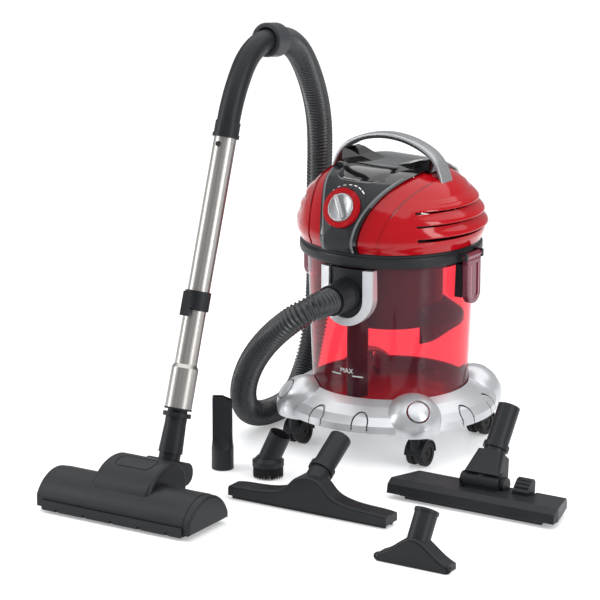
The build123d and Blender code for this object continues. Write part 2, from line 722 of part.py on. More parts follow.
def bleed_slider():
    """Small slider over the suction bleed slot on the grip."""
    return Plane(origin=wand_at(534, 21.8), z_dir=WAND_UP, x_dir=(1, 0, 0)) * Box(13, 3.4, 14)


# ---- turbo head ------------------------------------------------------------------------------
def turbo_outline(inset=0.0):
    """Half-round end view of the turbo head as a face in the YZ plane."""
    front, back = -600 + inset, -492 - inset
    low, top = 8.0, HEAD_TOP - inset
    over = ThreePointArc((0, front, 26), (0, -552, top), (0, back, 18))
    rest = Polyline((0, back, 18), (0, back, low), (0, front, low), (0, front, 26))
    return make_face([over, rest])


def turbo_shell():
    """Half-round housing, open below, with a window for the turbine under the hood."""
    start, end = HEAD_X[0] + HEAD_END_CAP, HEAD_X[1] - HEAD_END_CAP
    body = Pos(start, 0, 0) * extrude(turbo_outline(), end - start, dir=(1, 0, 0))
    room = Pos(start + 3, 0, 0) * extrude(turbo_outline(3), end - start - 6, dir=(1, 0, 0))
    body -= room + block((start + 3, end - 3), (-597, -495), (0, 12))
    return body - block((-170, -96), (-575, -506), (30, 80))


def turbo_end_caps():
    """Two rounded end caps."""
    caps = []
    for start in (HEAD_X[0], HEAD_X[1] - HEAD_END_CAP):
        cap = Pos(start, 0, 0) * extrude(turbo_outline(0.8), HEAD_END_CAP, dir=(1, 0, 0))
        outer_x = HEAD_X[0] if start == HEAD_X[0] else HEAD_X[1]
        rim = [edge for edge in cap.edges() if abs(edge.center().X - outer_x) < 0.01]
        caps.append(fillet(rim, 4))
    return Compound(caps)


def turbo_sole():
    """Base plate with the brush slot."""
    plate = block((-262 + CLEARANCE, -7 - CLEARANCE), (-596.5, -495.5), (4.5, 8))
    plate -= block((-252, -18), (-595, -548), (0, 12))
    for x in TURBO_WHEEL_X:
        plate -= block((x - 1, x + 12), (-517.5, -495), (0, 12))
        plate -= block((x - 4.5, x + 15.5), (-510, -504), (0, 12))
    return plate + turbo_bumper()


def turbo_bumper():
    """Strip along the front of the turbo head with five small notches."""
    strip = block((-262, -7), (-603, -600.4), (6, 20)) + block((-261, -8), (-603, -595), (4.5, 8))
    for step in range(5):
        strip -= block((-236 + step * 50, -230 + step * 50), (-604, -601.2), (3, 9))
    return strip


def turbo_hood():
    """Centre hood over the turbine with two ears that hold the neck's hinge pin."""
    solid = hood_block(0, *HOOD_X)
    sides = [edge for edge in solid.edges() if edge.length > 90 and edge.center().Z > 50
             and min(abs(edge.center().X - HOOD_X[0]), abs(edge.center().X - HOOD_X[1])) < 0.01]
    solid = fillet(sides, 7)
    solid -= hood_block(4, HOOD_X[0] + 4, HOOD_X[1] - 4)
    solid -= Pos(-400, 0, 0) * extrude(turbo_outline(), 500, dir=(1, 0, 0))
    ears = []
    for side in (-1, 1):
        inner = WAND_PIVOT[0] + side * 23
        outer = WAND_PIVOT[0] + side * 36
        low, high = min(inner, outer), max(inner, outer)
        arm = block((low, high), (-474, WAND_PIVOT[1]), (31, 59))
        disc = rod((low, WAND_PIVOT[1], 45), (high, WAND_PIVOT[1], 45), 14 + 4)
        ears.append(arm + disc)
    hood = solid + ears
    hood -= hood_panel()
    return hood - rod((-200, WAND_PIVOT[1], 45), (-60, WAND_PIVOT[1], 45), 5 + RUNNING_FIT)


def hood_block(inset, x_from, x_to):
    """The hood's rounded side view as a prism, drawn in by an inset."""
    over = Spline((0, -584 + inset, 38), (0, -568 + inset * 0.7, 63 - inset * 0.7), (0, -545, 78 - inset),
                  (0, -515, 83 - inset), (0, -490, 77 - inset), (0, -473 - inset, 56), (0, -473 - inset, 32))
    under = Polyline((0, -473 - inset, 32), (0, -491, 22), (0, -560, 20), (0, -584 + inset, 38))
    return Pos(x_from, 0, 0) * extrude(make_face([over, under]), x_to - x_from, dir=(1, 0, 0))


def hood_panel():
    """Shallow rounded groove on top of the hood."""
    seat = Plane(origin=(-135, -529, 70), x_dir=(1, 0, 0), z_dir=(0, -0.08, 0.997))
    ring = seat * extrude(RectangleRounded(66, 34, 10) - RectangleRounded(63, 31, 9), 20)
    return ring - hood_block(0.9, HOOD_X[0] - 10, HOOD_X[1] + 10)


def brush_roll():
    """Brush roll with two spiral-set rows of bristle blocks."""
    y, z = ROLL_AXIS
    roll = rod((-255, y, z), (-14, y, z), 12) + rod((-258.6, y, z), (-10.4, y, z), 4)
    for step in range(8):
        start = -248 + step * 29
        for turn in (0, 180):
            tuft = Pos(start + 12, y, z) * Rot(step * 22 + turn, 0, 0) * Pos(0, 0, 15.5) * Box(20, 4, 9)
            roll += tuft
    return roll


def turbine_rotor():
    """Air turbine that drives the brush roll."""
    y, z = TURBINE_AXIS
    rotor = rod((-160, y, z), (-110, y, z), 7) + rod((-172, y, z), (-98, y, z), 3)
    rotor += rod((BELT_X - 3, y, z), (BELT_X + 3, y, z), 6)
    for step in range(8):
        rotor += Pos(-135, y, z) * Rot(step * 45, 0, 0) * Pos(0, 0, 10.5) * Box(48, 1.6, 9)
    return rotor


def belt_loop(small, large, width):
    """A round-ended slab across both belt axes, lying along X."""
    (y0, z0), (y1, z1) = TURBINE_AXIS, ROLL_AXIS
    reach = Vector(y1 - y0, z1 - z0).length
    face = make_hull(Circle(small).edges() + (Pos(reach, 0) * Circle(large)).edges())
    across = Plane(origin=(BELT_X - width / 2, y0, z0), x_dir=(0, y1 - y0, z1 - z0), z_dir=(1, 0, 0))
    return across * extrude(face, width)


def drive_belt():
    """Belt from the turbine's pulley to the brush roll."""
    return belt_loop(7.7, 13.8, 6) - belt_loop(6.2, 12.3, 8)


def turbo_wheels():
    """Two rear wheels on stub axles."""
    wheels = []
    for x in TURBO_WHEEL_X:
        wheels.append(rod((x, -507, 9.4), (x + 11, -507, 9.4), 9) + rod((x - 4, -507, 9.4),
                                                                       (x + 15, -507, 9.4), 2))
    return Compound(wheels)


# ---- loose nozzles ---------------------------------------------------------------------------
def socket_cut(foot, direction, start, length):
    """Cutter for a neck: a 40 mm socket at its mouth and the duct below it."""
    mouth = along(foot, direction, length + 1)
    shoulder = along(foot, direction, length - SOCKET_DEPTH)
    return rod(shoulder, mouth, SOCKET_R) + rod(along(foot, direction, start), shoulder, DUCT_R)


def crevice_tool():
    """Short crevice tool standing on its round socket, with a slanting mouth."""
    x, y = CREVICE_AT
    turn = Rot(0, 0, 30)
    socket = Cylinder(NECK_R, 34, align=(Align.CENTER, Align.CENTER, Align.MIN))
    blend = loft([Plane.XY.offset(34) * Circle(NECK_R), Plane.XY.offset(52) * Rectangle(31, 17)])
    blade = loft([Plane.XY.offset(52) * Rectangle(31, 17), Plane.XY.offset(118) * Rectangle(31, 14)])
    bore = Cylinder(SOCKET_R, 36, align=(Align.CENTER, Align.CENTER, Align.MIN))
    duct = block((-13, 13), (-5.5, 5.5), (30, 125))
    cut = Pos(0, 0, 118) * Rot(0, 24, 0) * Pos(0, 0, 20) * Box(90, 60, 40)
    return Pos(x, y, 0.5) * turn * ((socket + blend + blade) - bore - duct - cut)


BRUSH_NECK = (0.39, 0.11, 0.91)
BRUSH_NECK_LENGTH = 50.0


def dust_brush():
    """Round dusting brush body: flanged ring and leaning neck."""
    x, y = BRUSH_AT
    foot = (x, y, 26)
    body = rod((x, y, 19), (x, y, 27), 25)
    body += cone_between((x, y, 27), (x, y, 33), 23, NECK_R + 1)
    body += rod(foot, along(foot, BRUSH_NECK, BRUSH_NECK_LENGTH), NECK_R)
    body += rod(along(foot, BRUSH_NECK, 6), foot, NECK_R)
    body &= block((x - 60, x + 60), (y - 60, y + 60), (19, 120))
    body -= rod((x, y, 18), (x, y, 26), DUCT_R)
    return body - socket_cut(foot, BRUSH_NECK, -3, BRUSH_NECK_LENGTH)


def brush_bristles():
    """Ring of bristles below the dusting brush."""
    x, y = BRUSH_AT
    return rod((x, y, 0.4), (x, y, 19), 24, 15)


HARD_NECK = (0, sin(radians(58)), cos(radians(58)))
HARD_NECK_LENGTH = 100.0


def hard_floor_nozzle():
    """Long bare-floor nozzle with a centre hump and a bored neck."""
    x, y = HARD_AT
    shoulder = [(140.5, 20), (100, 23), (62, 27), (38, 37), (24, 51), (12, 57)]
    over = Spline(*[(x - a, y - 17, z) for a, z in shoulder], *[(x + a, y - 17, z) for a, z in shoulder[::-1]])
    ends = Polyline((x + 140.5, y - 17, 20), (x + 140.5, y - 17, 6), (x - 140.5, y - 17, 6),
                    (x - 140.5, y - 17, 20))
    bar = extrude(make_face([over, ends]), 34, dir=(0, 1, 0))
    bar = fillet([edge for edge in bar.edges() if edge.length > 250 and edge.center().Z > 20], 4)
    foot = (x, y, 40)
    body = bar + rod(foot, along(foot, HARD_NECK, HARD_NECK_LENGTH), NECK_R)
    for side in (-10, 10):
        body += block((x - 136, x + 136), (y + side - 2, y + side + 2), (0.4, 7))
    body += rod(along(foot, HARD_NECK, 30), along(foot, HARD_NECK, 40), NECK_R + 3)
    body -= socket_cut(foot, HARD_NECK, 2, HARD_NECK_LENGTH)
    return body - block((x - 132, x + 132), (y - 6, y + 6), (0, 16)) - block(
        (x - 13, x + 13), (y - 6, y + 6), (10, 42))


UPHOLSTERY_NECK = (0, sin(radians(33)), cos(radians(33)))
UPHOLSTERY_NECK_LENGTH = 58.0


def upholstery_nozzle():
    """Small fan-shaped nozzle with rounded end ears and a bored neck."""
    x, y = UPHOLSTERY_AT
    slope = [(58, 12), (44, 19), (30, 29), (16, 39), (7, 43)]
    over = Spline(*[(x - a, y - 15, z) for a, z in slope], *[(x + a, y - 15, z) for a, z in slope[::-1]])
    rest = Polyline((x + 58, y - 15, 12), (x + 58, y - 15, 0.5), (x - 58, y - 15, 0.5), (x - 58, y - 15, 12))
    fan = extrude(make_face([over, rest]), 30, dir=(0, 1, 0))
    fan = fillet([edge for edge in fan.edges() if edge.length > 100 and edge.center().Z > 15], 5)
    ears = []
    for side in (-58, 58):
        ear = rod((x + side, y - 13, 6.5), (x + side, y - 8, 6.5), 6)
        ears.append(ear - rod((x + side * 1.05, y - 14, 6.5), (x + side * 1.05, y - 7, 6.5), 2))
    foot = (x, y, 26)
    mouth = along(foot, UPHOLSTERY_NECK, UPHOLSTERY_NECK_LENGTH)
    body = fan + rod(foot, mouth, NECK_R) + ears
    body += rod(along(foot, UPHOLSTERY_NECK, UPHOLSTERY_NECK_LENGTH - 5), mouth, NECK_R + 1.2)
    body -= socket_cut(foot, UPHOLSTERY_NECK, 2, UPHOLSTERY_NECK_LENGTH)
    return body - block((x - 54, x + 54), (y - 6, y + 6), (0, 9)) - block(
        (x - 13, x + 13), (y - 6, y + 6), (0, 30))


COMBI_NECK = (0, sin(radians(37)), cos(radians(37)))
COMBI_PIVOT = (290, -210, 34)
PEDAL_AT = (357, -209)


def combi_body():
    """Upper housing of the combination floor nozzle, narrower at its back."""
    x, y = COMBI_AT
    outline = [(-40, 9), (40, 9), (40, 20), (34, 27), (-26, 30), (-37, 23)]
    body = across_x([(y + a, b) for a, b in outline], x - 144, x + 144)
    plan = Polyline((x - 144, y - 41, 0), (x + 144, y - 41, 0), (x + 144, y - 24, 0), (x + 126, y + 41, 0),
                    (x - 126, y + 41, 0), (x - 144, y - 24, 0), close=True)
    body &= extrude(make_face(plan), 60, dir=(0, 0, 1))
    body -= extrude(offset(make_face(plan), -5), 20, dir=(0, 0, 1))
    well_x = (COMBI_PIVOT[0] - 31, COMBI_PIVOT[0] + 31)
    body -= block(well_x, (COMBI_PIVOT[1] - 27, y + 50), (14, 60))
    posts = []
    for side in (-1, 1):
        low, high = sorted((COMBI_PIVOT[0] + side * 31, COMBI_PIVOT[0] + side * 38))
        posts.append(rod((low, COMBI_PIVOT[1], 34), (high, COMBI_PIVOT[1], 34), 12))
    slot_x, slot_y = PEDAL_AT
    body = body + posts - block((slot_x - 15, slot_x + 15), (slot_y - 16, slot_y + 15), (16, 60))
    body -= rod((slot_x - 19, slot_y, 27), (slot_x + 19, slot_y, 27), 2.5 + RUNNING_FIT)
    pin_x = (COMBI_PIVOT[0] - 50, COMBI_PIVOT[0] + 50)
    return body - rod((pin_x[0], *COMBI_PIVOT[1:]), (pin_x[1], *COMBI_PIVOT[1:]), 3 + RUNNING_FIT)


def combi_sole():
    """Sole plate with the suction mouth and two bristle strips."""
    x, y = COMBI_AT
    plate = block((x - 124, x + 124), (y - 34, y + 34), (6, 9))
    for side in (-26, 26):
        plate += block((x - 118, x + 118), (y + side - 3, y + side + 3), (0.4, 7))
    return plate - block((x - 112, x + 112), (y - 8, y + 8), (0, 12))


def combi_neck():
    """Rocking neck of the combination nozzle with its sloping cover."""
    middle_x = COMBI_PIVOT[0]
    barrel = rod((middle_x - 30.6, *COMBI_PIVOT[1:]), (middle_x + 30.6, *COMBI_PIVOT[1:]), 17)
    low = Plane(origin=along(COMBI_PIVOT, COMBI_NECK, 6), x_dir=(1, 0, 0), z_dir=COMBI_NECK)
    high = Plane(origin=along(COMBI_PIVOT, COMBI_NECK, 46), x_dir=(1, 0, 0), z_dir=COMBI_NECK)
    cover = loft([low * RectangleRounded(60, 46, 6), high * RectangleRounded(44, 42, 12)])
    tube = rod(COMBI_PIVOT, along(COMBI_PIVOT, COMBI_NECK, 126), NECK_R)
    ring = rod(along(COMBI_PIVOT, COMBI_NECK, 54), along(COMBI_PIVOT, COMBI_NECK, 62), NECK_R + 3)
    studs = rod((middle_x - 38, *COMBI_PIVOT[1:]), (middle_x + 38, *COMBI_PIVOT[1:]), 3)
    body = barrel + cover + tube + ring + studs
    return body - socket_cut(COMBI_PIVOT, COMBI_NECK, 20, 126)


def combi_pedal():
    """Ridged rocker pedal that switches the bristles."""
    x, y = PEDAL_AT
    outline = [(-13, 27), (12, 27), (13, 44), (9, 49), (2, 48), (-6, 41), (-13, 33)]
    rocker = across_x([(y + a, b) for a, b in outline], x - 13, x + 13)
    rocker += rod((x - 13, y, 27), (x + 13, y, 27), 6)
    for step in range(3):
        rib_y, rib_z = y - 9 + step * 5, 38 + step * 4.4
        rocker += block((x - 11, x + 11), (rib_y - 1, rib_y + 1), (rib_z - 4, rib_z + 1.5))
    return rocker + rod((x - 18, y, 27), (x + 18, y, 27), 2.5)


# ---- write every node ------------------------------------------------------------------------
CHASSIS_PARTS = {
    "base_ring": base_ring, "base_caps": base_caps, "tank": tank, "inlet_housing": inlet_housing,
    "inlet_trim": inlet_trim, "inlet_down_tube": inlet_down_tube, "hose_cuff": hose_cuff,
    "suction_hose": hose, "power_gland": power_gland,
}
HEAD_PARTS = {
    "tank_lugs": tank_lugs, "head_base": head_base, "head_gasket": head_gasket,
    "centre_cover": centre_cover, "carry_handle": carry_handle, "handle_grip": handle_grip,
    "dial_bezel": dial_bezel, "dial_knob": dial_knob, "motor_unit": motor_unit,
    "fan_impeller": fan_impeller, "filter_drum": filter_drum, "filter_element": filter_element,
    "float_cage": float_cage, "float_ball": float_ball, "right_shell": side_shell,
    "latch_right": latch,
}
WAND_PARTS = {
    "turbo_neck": neck, "wand_tube": wand_tube, "socket_ring": socket_ring,
    "parking_clip": parking_clip, "lock_button": lock_button, "hand_grip": grip,
    "swivel_collar": swivel_collar, "bleed_slider": bleed_slider, "turbo_shell": turbo_shell,
    "turbo_end_caps": turbo_end_caps, "turbo_sole": turbo_sole, "turbo_hood": turbo_hood,
    "brush_roll": brush_roll, "turbine_rotor": turbine_rotor, "drive_belt": drive_belt,
    "turbo_wheels": turbo_wheels,
}
LOOSE_NOZZLES = {
    "crevice_tool": crevice_tool, "dust_brush": dust_brush, "brush_bristles": brush_bristles,
    "hard_floor_nozzle": hard_floor_nozzle, "upholstery_nozzle": upholstery_nozzle,
    "combi_body": combi_body, "combi_sole": combi_sole, "combi_neck": combi_neck,
    "combi_pedal": combi_pedal,
}
MIRRORED = {"right_shell": "left_shell", "latch_right": "latch_left"}


def write_all():
    """Build and save every node."""
    for name, build in {**CHASSIS_PARTS, **WAND_PARTS, **LOOSE_NOZZLES}.items():
        save(name, build())
    for name, build in HEAD_PARTS.items():
        shape = build()
        save(name, head_turned(shape))
        if name in MIRRORED:
            save(MIRRORED[name], head_turned(mirror(shape, Plane.YZ)))
    for number, (angle, heading) in enumerate(zip(CORNER_ANGLES, CASTER_HEADINGS), 1):
        save(f"caster_fork_{number}", caster_fork(angle, heading))
        save(f"caster_wheels_{number}", caster_wheels(angle, heading))


write_all()
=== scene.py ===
import json
from math import ceil, cos, pi, radians, sin

import bpy
from mathutils import Matrix, Vector
from mathutils.bvhtree import BVHTree


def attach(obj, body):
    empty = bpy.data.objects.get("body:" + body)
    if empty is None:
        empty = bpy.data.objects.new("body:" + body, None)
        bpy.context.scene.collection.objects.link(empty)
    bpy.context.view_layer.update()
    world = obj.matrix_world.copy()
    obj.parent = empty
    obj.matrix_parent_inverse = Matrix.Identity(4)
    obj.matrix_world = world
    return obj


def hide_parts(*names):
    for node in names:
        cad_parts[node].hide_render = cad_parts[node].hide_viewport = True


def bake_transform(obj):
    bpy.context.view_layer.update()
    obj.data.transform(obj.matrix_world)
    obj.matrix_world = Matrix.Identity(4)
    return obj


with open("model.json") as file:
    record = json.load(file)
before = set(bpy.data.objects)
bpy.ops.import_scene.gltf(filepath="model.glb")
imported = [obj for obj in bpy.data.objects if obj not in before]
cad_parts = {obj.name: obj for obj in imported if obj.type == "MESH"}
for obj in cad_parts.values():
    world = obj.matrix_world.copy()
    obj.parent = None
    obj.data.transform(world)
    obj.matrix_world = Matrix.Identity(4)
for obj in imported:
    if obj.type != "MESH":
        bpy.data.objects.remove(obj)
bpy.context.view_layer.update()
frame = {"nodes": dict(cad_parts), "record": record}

# ---- driving sizes, in metres --------------------------------------------------------------------
CAMERA_AIM = Vector((-0.127, -0.073, 0.231))
CAMERA_TARGET = Vector((0, 0, 0.25))
CAMERA_DISTANCE = 5.2
CAMERA_AZIMUTH = 30
CAMERA_ELEVATION = 15
CAMERA_LENS = 193.4

# The suction hose, along the same points as in part.py.
HOSE_DIAMETER = 0.043
RIB_PITCH = 0.0065
RIB_DEPTH = 0.0034
HOSE_ROUTE = (
    (0, -0.188, 0.274), (0, -0.213, 0.274), (-0.012, -0.236, 0.269), (-0.034, -0.247, 0.253),
    (-0.063, -0.247, 0.229), (-0.097, -0.235, 0.197), (-0.132, -0.214, 0.158),
    (-0.166, -0.182, 0.112), (-0.191, -0.145, 0.071), (-0.206, -0.106, 0.039),
    (-0.208, -0.064, 0.023), (-0.203, -0.020, 0.022), (-0.206, 0.024, 0.024),
    (-0.214, 0.066, 0.037), (-0.220, 0.099, 0.066), (-0.221, 0.119, 0.106),
    (-0.217, 0.127, 0.152), (-0.212, 0.124, 0.202), (-0.207, 0.117, 0.252),
    (-0.201, 0.109, 0.302), (-0.196, 0.099, 0.352), (-0.190, 0.090, 0.402),
    (-0.182, 0.079, 0.452), (-0.172, 0.060, 0.501), (-0.163, 0.032, 0.549),
    (-0.155, -0.003, 0.594), (-0.147, -0.041, 0.630), (-0.140, -0.075, 0.650),
    (-0.135, -0.105, 0.662), (-0.135, -0.12977, 0.66566),
)

TUBE_LEAN = radians(19.14)
HEAD_TURN = radians(-4)

# Edge curves on the head, each through three points of (distance from the middle, height).
PANEL_EDGE = ((0.034, 0.342), (0.046, 0.411), (0.084, 0.466))
CREASE_EDGE = ((0.066, 0.342), (0.076, 0.400), (0.099, 0.446))
PANEL_FOOT_Z = 0.3445
PANEL_GAP = 0.0075
# Painted highlights along the panel's edges: where the grey strips start and end, and how far inside
# the edge they lie.
HIGHLIGHT_FOOT_Z = 0.345
HIGHLIGHT_TOP_Z = 0.454
HIGHLIGHT_GAP = 0.0065
CREASE_FOOT_Z = 0.3455
CREASE_TOP_Z = 0.4455
COWL_RISE = 0.0075
COWL_FOOT_Z = 0.4478
COWL_HALF_WIDTH = 0.048

DIAL_FACE = Vector((0, -0.136, 0.411))
DIAL_TILT = radians(24)
DIAL_CLEAR_R = 0.0315
TICK_R = 0.0402
TICKS = 7
# The knob's outline as (radius, distance out), and its bar's rings as (distance out, half its
# length, half its width).
KNOB_PROFILE = (
    (0.00001, -0.014), (0.004, -0.014), (0.004, 0.0006), (0.0215, 0.0006), (0.023, 0.0016),
    (0.023, 0.0075), (0.0222, 0.0088), (0.021, 0.0092), (0.0196, 0.0086), (0.012, 0.0080),
    (0.00001, 0.0078),
)
KNOB_BAR = ((0.0075, 0.0214, 0.0048), (0.0135, 0.0208, 0.0040), (0.0160, 0.0198, 0.0030),
            (0.0166, 0.0186, 0.0018))
KNOB_TURN = radians(33)

# A louvre's lip from its slot upwards: height over the slot's middle, how far it stands off the
# shell, and its share of the bulge.
LOUVRE_PROFILE = (
    (-0.0034, -0.0030, 0.0), (-0.0034, 0.0, 0.72), (-0.0026, 0.0, 0.93), (-0.0010, 0.0, 1.0),
    (0.0010, 0.0, 0.99), (0.0035, 0.0, 0.86), (0.0060, 0.0, 0.62), (0.0085, 0.0, 0.36),
    (0.0110, 0.0, 0.14), (0.0135, 0.0002, 0.0),
)
LOUVRE_HEIGHTS = (0.412, 0.392, 0.372)
LOUVRE_BULGE = 0.008
LOUVRE_ENDS = (-43, 56)          # degrees from the side towards the back
UNCUT_ANGLE = radians(47)        # where a shell has no slot, so that a ray meets its wall

# Right half of the handle's middle line, as (distance from the middle, height).
HANDLE_LINE = ((0, 0.5100), (0.034, 0.5062), (0.062, 0.4970), (0.083, 0.4850), (0.096, 0.4700),
               (0.1035, 0.4540), (0.108, 0.4400), (0.110, 0.4320))
HANDLE_HALF_WIDTH = 0.013
HANDLE_FLARE = 0.003
HANDLE_HALF_THICK = 0.0027
HANDLE_CROWN = 0.0013

WINDOW_HALF_WIDTH = 0.0105
WINDOW_TOP_Z = 0.316
WINDOW_ROUND_Z = 0.271
ARCH_HALF_WIDTH = 0.0128
ARCH_OFFSET = 13.6               # degrees each side of the middle between two casters
ARCH_FOOT_Z = 0.0635
ARCH_ROUND_Z = 0.075
CAP_FROM_MIDDLE = 0.140
CAP_Z = 0.067
CAP_RING_R = 0.0181
LEVEL_BAR_Z = (0.1362, 0.1378)
LEVEL_BAR_ANGLES = (-102.3, -84.0)
LEVEL_BAR_SWEEP = 8.6
LEVEL_WORD_ANGLE = -93
LEVEL_WORD_Z = 0.1405
LEVEL_WORD_SIZE = 0.0115
BRUSH_AT = Vector((-0.061, -0.275, 0))
BRISTLE_TOP_Z = 0.0205
BRISTLE_RINGS = ((0.0165, 64), (0.0195, 76), (0.0228, 90))       # radius, how many

FLOOR_GLOW = 0.3
WORLD_LIGHT = 0.4
TOP_POWER = 330


# ---- camera, floor and light ---------------------------------------------------------------------
def make_camera():
    """Camera at the photograph's viewing angle, aimed by rotation alone."""
    azimuth, elevation = radians(CAMERA_AZIMUTH), radians(CAMERA_ELEVATION)
    back = Vector((sin(azimuth) * cos(elevation), -cos(azimuth) * cos(elevation), sin(elevation)))
    camera = bpy.data.objects.new("camera", bpy.data.cameras.new("camera"))
    camera.location = CAMERA_TARGET + back * CAMERA_DISTANCE
    camera.rotation_euler = (CAMERA_AIM - camera.location).to_track_quat("-Z", "Y").to_euler()
    camera.data.lens = CAMERA_LENS
    camera.data.clip_end = 50
    bpy.context.collection.objects.link(camera)
    bpy.context.scene.camera = camera


def make_floor():
    """Plain pale floor with a faint sheen."""
    bpy.ops.mesh.primitive_plane_add(size=30, location=(0, 0, -0.0005))
    floor = bpy.context.object
    floor.name = "floor"
    material, shader, tree = new_material("floor", (0.90, 0.91, 0.92), 0.16)
    shader.inputs["Specular IOR Level"].default_value = 0.35
    shader.inputs["Emission Color"].default_value = (1, 1, 1, 1)
    shader.inputs["Emission Strength"].default_value = FLOOR_GLOW
    mottle = noise(tree, coordinates(tree), 3)
    tree.links.new(between(tree, mottle, 0.13, 0.2), shader.inputs["Roughness"])
    floor.data.materials.append(material)


def area_light(name, place, aim, size, power, size_y=None):
    """A soft rectangular lamp."""
    lamp = bpy.data.lights.new(name, "AREA")
    lamp.shape = "RECTANGLE"
    lamp.size = size
    lamp.size_y = size_y or size
    lamp.energy = power
    holder = bpy.data.objects.new(name, lamp)
    holder.location = place
    holder.rotation_euler = (Vector(aim) - Vector(place)).to_track_quat("-Z", "Y").to_euler()
    bpy.context.collection.objects.link(holder)


def make_light():
    """White studio: pale surroundings, a broad ceiling light and two side strips."""
    world = bpy.data.worlds.new("studio")
    world.use_nodes = True
    world.node_tree.nodes["Background"].inputs["Color"].default_value = (0.97, 0.985, 1, 1)
    world.node_tree.nodes["Background"].inputs["Strength"].default_value = WORLD_LIGHT
    bpy.context.scene.world = world
    area_light("ceiling", (0, 0.4, 4.2), (0, 0.4, 0), 8, TOP_POWER)
    area_light("left_strip", (-2.4, -1.8, 1.4), (0, 0, 0.3), 0.8, 40, 2.2)
    area_light("right_strip", (2.6, -0.6, 1.2), (0, 0, 0.3), 0.7, 34, 2.0)
    view = bpy.context.scene.view_settings
    view.view_transform = "Standard"
    view.look = "None"


# ---- materials -----------------------------------------------------------------------------------
def new_material(name, colour, roughness, metallic=0.0):
    """A Principled material; returns it with its shader and node tree."""
    material = bpy.data.materials.new(name)
    material.use_nodes = True
    tree = material.node_tree
    shader = tree.nodes["Principled BSDF"]
    shader.inputs["Base Color"].default_value = (*colour, 1)
    shader.inputs["Roughness"].default_value = roughness
    shader.inputs["Metallic"].default_value = metallic
    shader.inputs["Specular IOR Level"].default_value = 0.22
    return material, shader, tree


def coordinates(tree):
    """Object coordinates."""
    return tree.nodes.new("ShaderNodeTexCoord").outputs["Object"]


def noise(tree, vector, scale, detail=3.0):
    """A noise texture's value."""
    node = tree.nodes.new("ShaderNodeTexNoise")
    node.inputs["Scale"].default_value = scale
    node.inputs["Detail"].default_value = detail
    tree.links.new(vector, node.inputs["Vector"])
    return node.outputs["Fac"]


def between(tree, value, low, high):
    """A value spread from one number to another."""
    node = tree.nodes.new("ShaderNodeMapRange")
    node.inputs["From Min"].default_value = 0.3
    node.inputs["From Max"].default_value = 0.7
    node.inputs["To Min"].default_value = low
    node.inputs["To Max"].default_value = high
    tree.links.new(value, node.inputs["Value"])
    return node.outputs["Result"]


def blend_colour(tree, value, first, second):
    """A colour ramp between two colours."""
    ramp = tree.nodes.new("ShaderNodeValToRGB")
    ramp.color_ramp.elements[0].position = 0.35
    ramp.color_ramp.elements[1].position = 0.65
    ramp.color_ramp.elements[0].color = (*first, 1)
    ramp.color_ramp.elements[1].color = (*second, 1)
    tree.links.new(value, ramp.inputs["Fac"])
    return ramp.outputs["Color"]


def add_bump(tree, shader, value, strength, distance):
    """Bump from a value."""
    bump = tree.nodes.new("ShaderNodeBump")
    bump.inputs["Strength"].default_value = strength
    bump.inputs["Distance"].default_value = distance
    tree.links.new(value, bump.inputs["Height"])
    tree.links.new(bump.outputs["Normal"], shader.inputs["Normal"])


def moulded_plastic(name, colour, roughness, grain=0.25):
    """Moulded plastic: fine grain, slight mottling in colour and sheen."""
    material, shader, tree = new_material(name, colour, roughness)
    place = coordinates(tree)
    broad = noise(tree, place, 18)
    lighter = [channel * 1.35 for channel in colour]
    tree.links.new(blend_colour(tree, broad, colour, lighter), shader.inputs["Base Color"])
    tree.links.new(between(tree, broad, roughness - 0.05, roughness + 0.05),
                   shader.inputs["Roughness"])
    add_bump(tree, shader, noise(tree, place, 2600, 2), grain, 0.0002)
    return material


def gloss_plastic(name, colour, roughness, coat=1.0):
    """Polished plastic with a clear coat and very faint waviness."""
    material, shader, tree = new_material(name, colour, roughness)
    shader.inputs["Coat Weight"].default_value = coat
    shader.inputs["Coat Roughness"].default_value = 0.03
    place = coordinates(tree)
    dark = [channel * 0.8 for channel in colour]
    tree.links.new(blend_colour(tree, noise(tree, place, 6), dark, colour),
                   shader.inputs["Base Color"])
    add_bump(tree, shader, noise(tree, place, 40, 1), 0.04, 0.0004)
    return material


def silver_paint(name, colour=(0.53, 0.54, 0.56), roughness=0.32):
    """Silver paint: metal flakes under a satin coat."""
    material, shader, tree = new_material(name, colour, roughness, metallic=0.55)
    shader.inputs["Coat Weight"].default_value = 0.35
    shader.inputs["Coat Roughness"].default_value = 0.22
    place = coordinates(tree)
    flakes = noise(tree, place, 3200, 1)
    bright = [min(1.0, channel * 1.08) for channel in colour]
    tree.links.new(blend_colour(tree, flakes, colour, bright), shader.inputs["Base Color"])
    tree.links.new(between(tree, noise(tree, place, 60), roughness - 0.03, roughness + 0.04),
                   shader.inputs["Roughness"])
    add_bump(tree, shader, flakes, 0.05, 0.0001)
    return material


def brushed_steel():
    """Steel tube with fine lines along its length."""
    material, shader, tree = new_material("brushed_steel", (0.50, 0.48, 0.45), 0.25, metallic=1.0)
    upright = tree.nodes.new("ShaderNodeMapping")
    upright.inputs["Rotation"].default_value = (TUBE_LEAN, 0, 0)
    lines = tree.nodes.new("ShaderNodeMapping")
    lines.inputs["Scale"].default_value = (700, 700, 6)
    tree.links.new(coordinates(tree), upright.inputs["Vector"])
    tree.links.new(upright.outputs["Vector"], lines.inputs["Vector"])
    fine = noise(tree, lines.outputs["Vector"], 1, 3)
    tree.links.new(between(tree, fine, 0.30, 0.42), shader.inputs["Roughness"])
    tree.links.new(blend_colour(tree, fine, (0.37, 0.355, 0.34), (0.45, 0.435, 0.415)),
                   shader.inputs["Base Color"])
    add_bump(tree, shader, fine, 0.04, 0.0001)
    return material


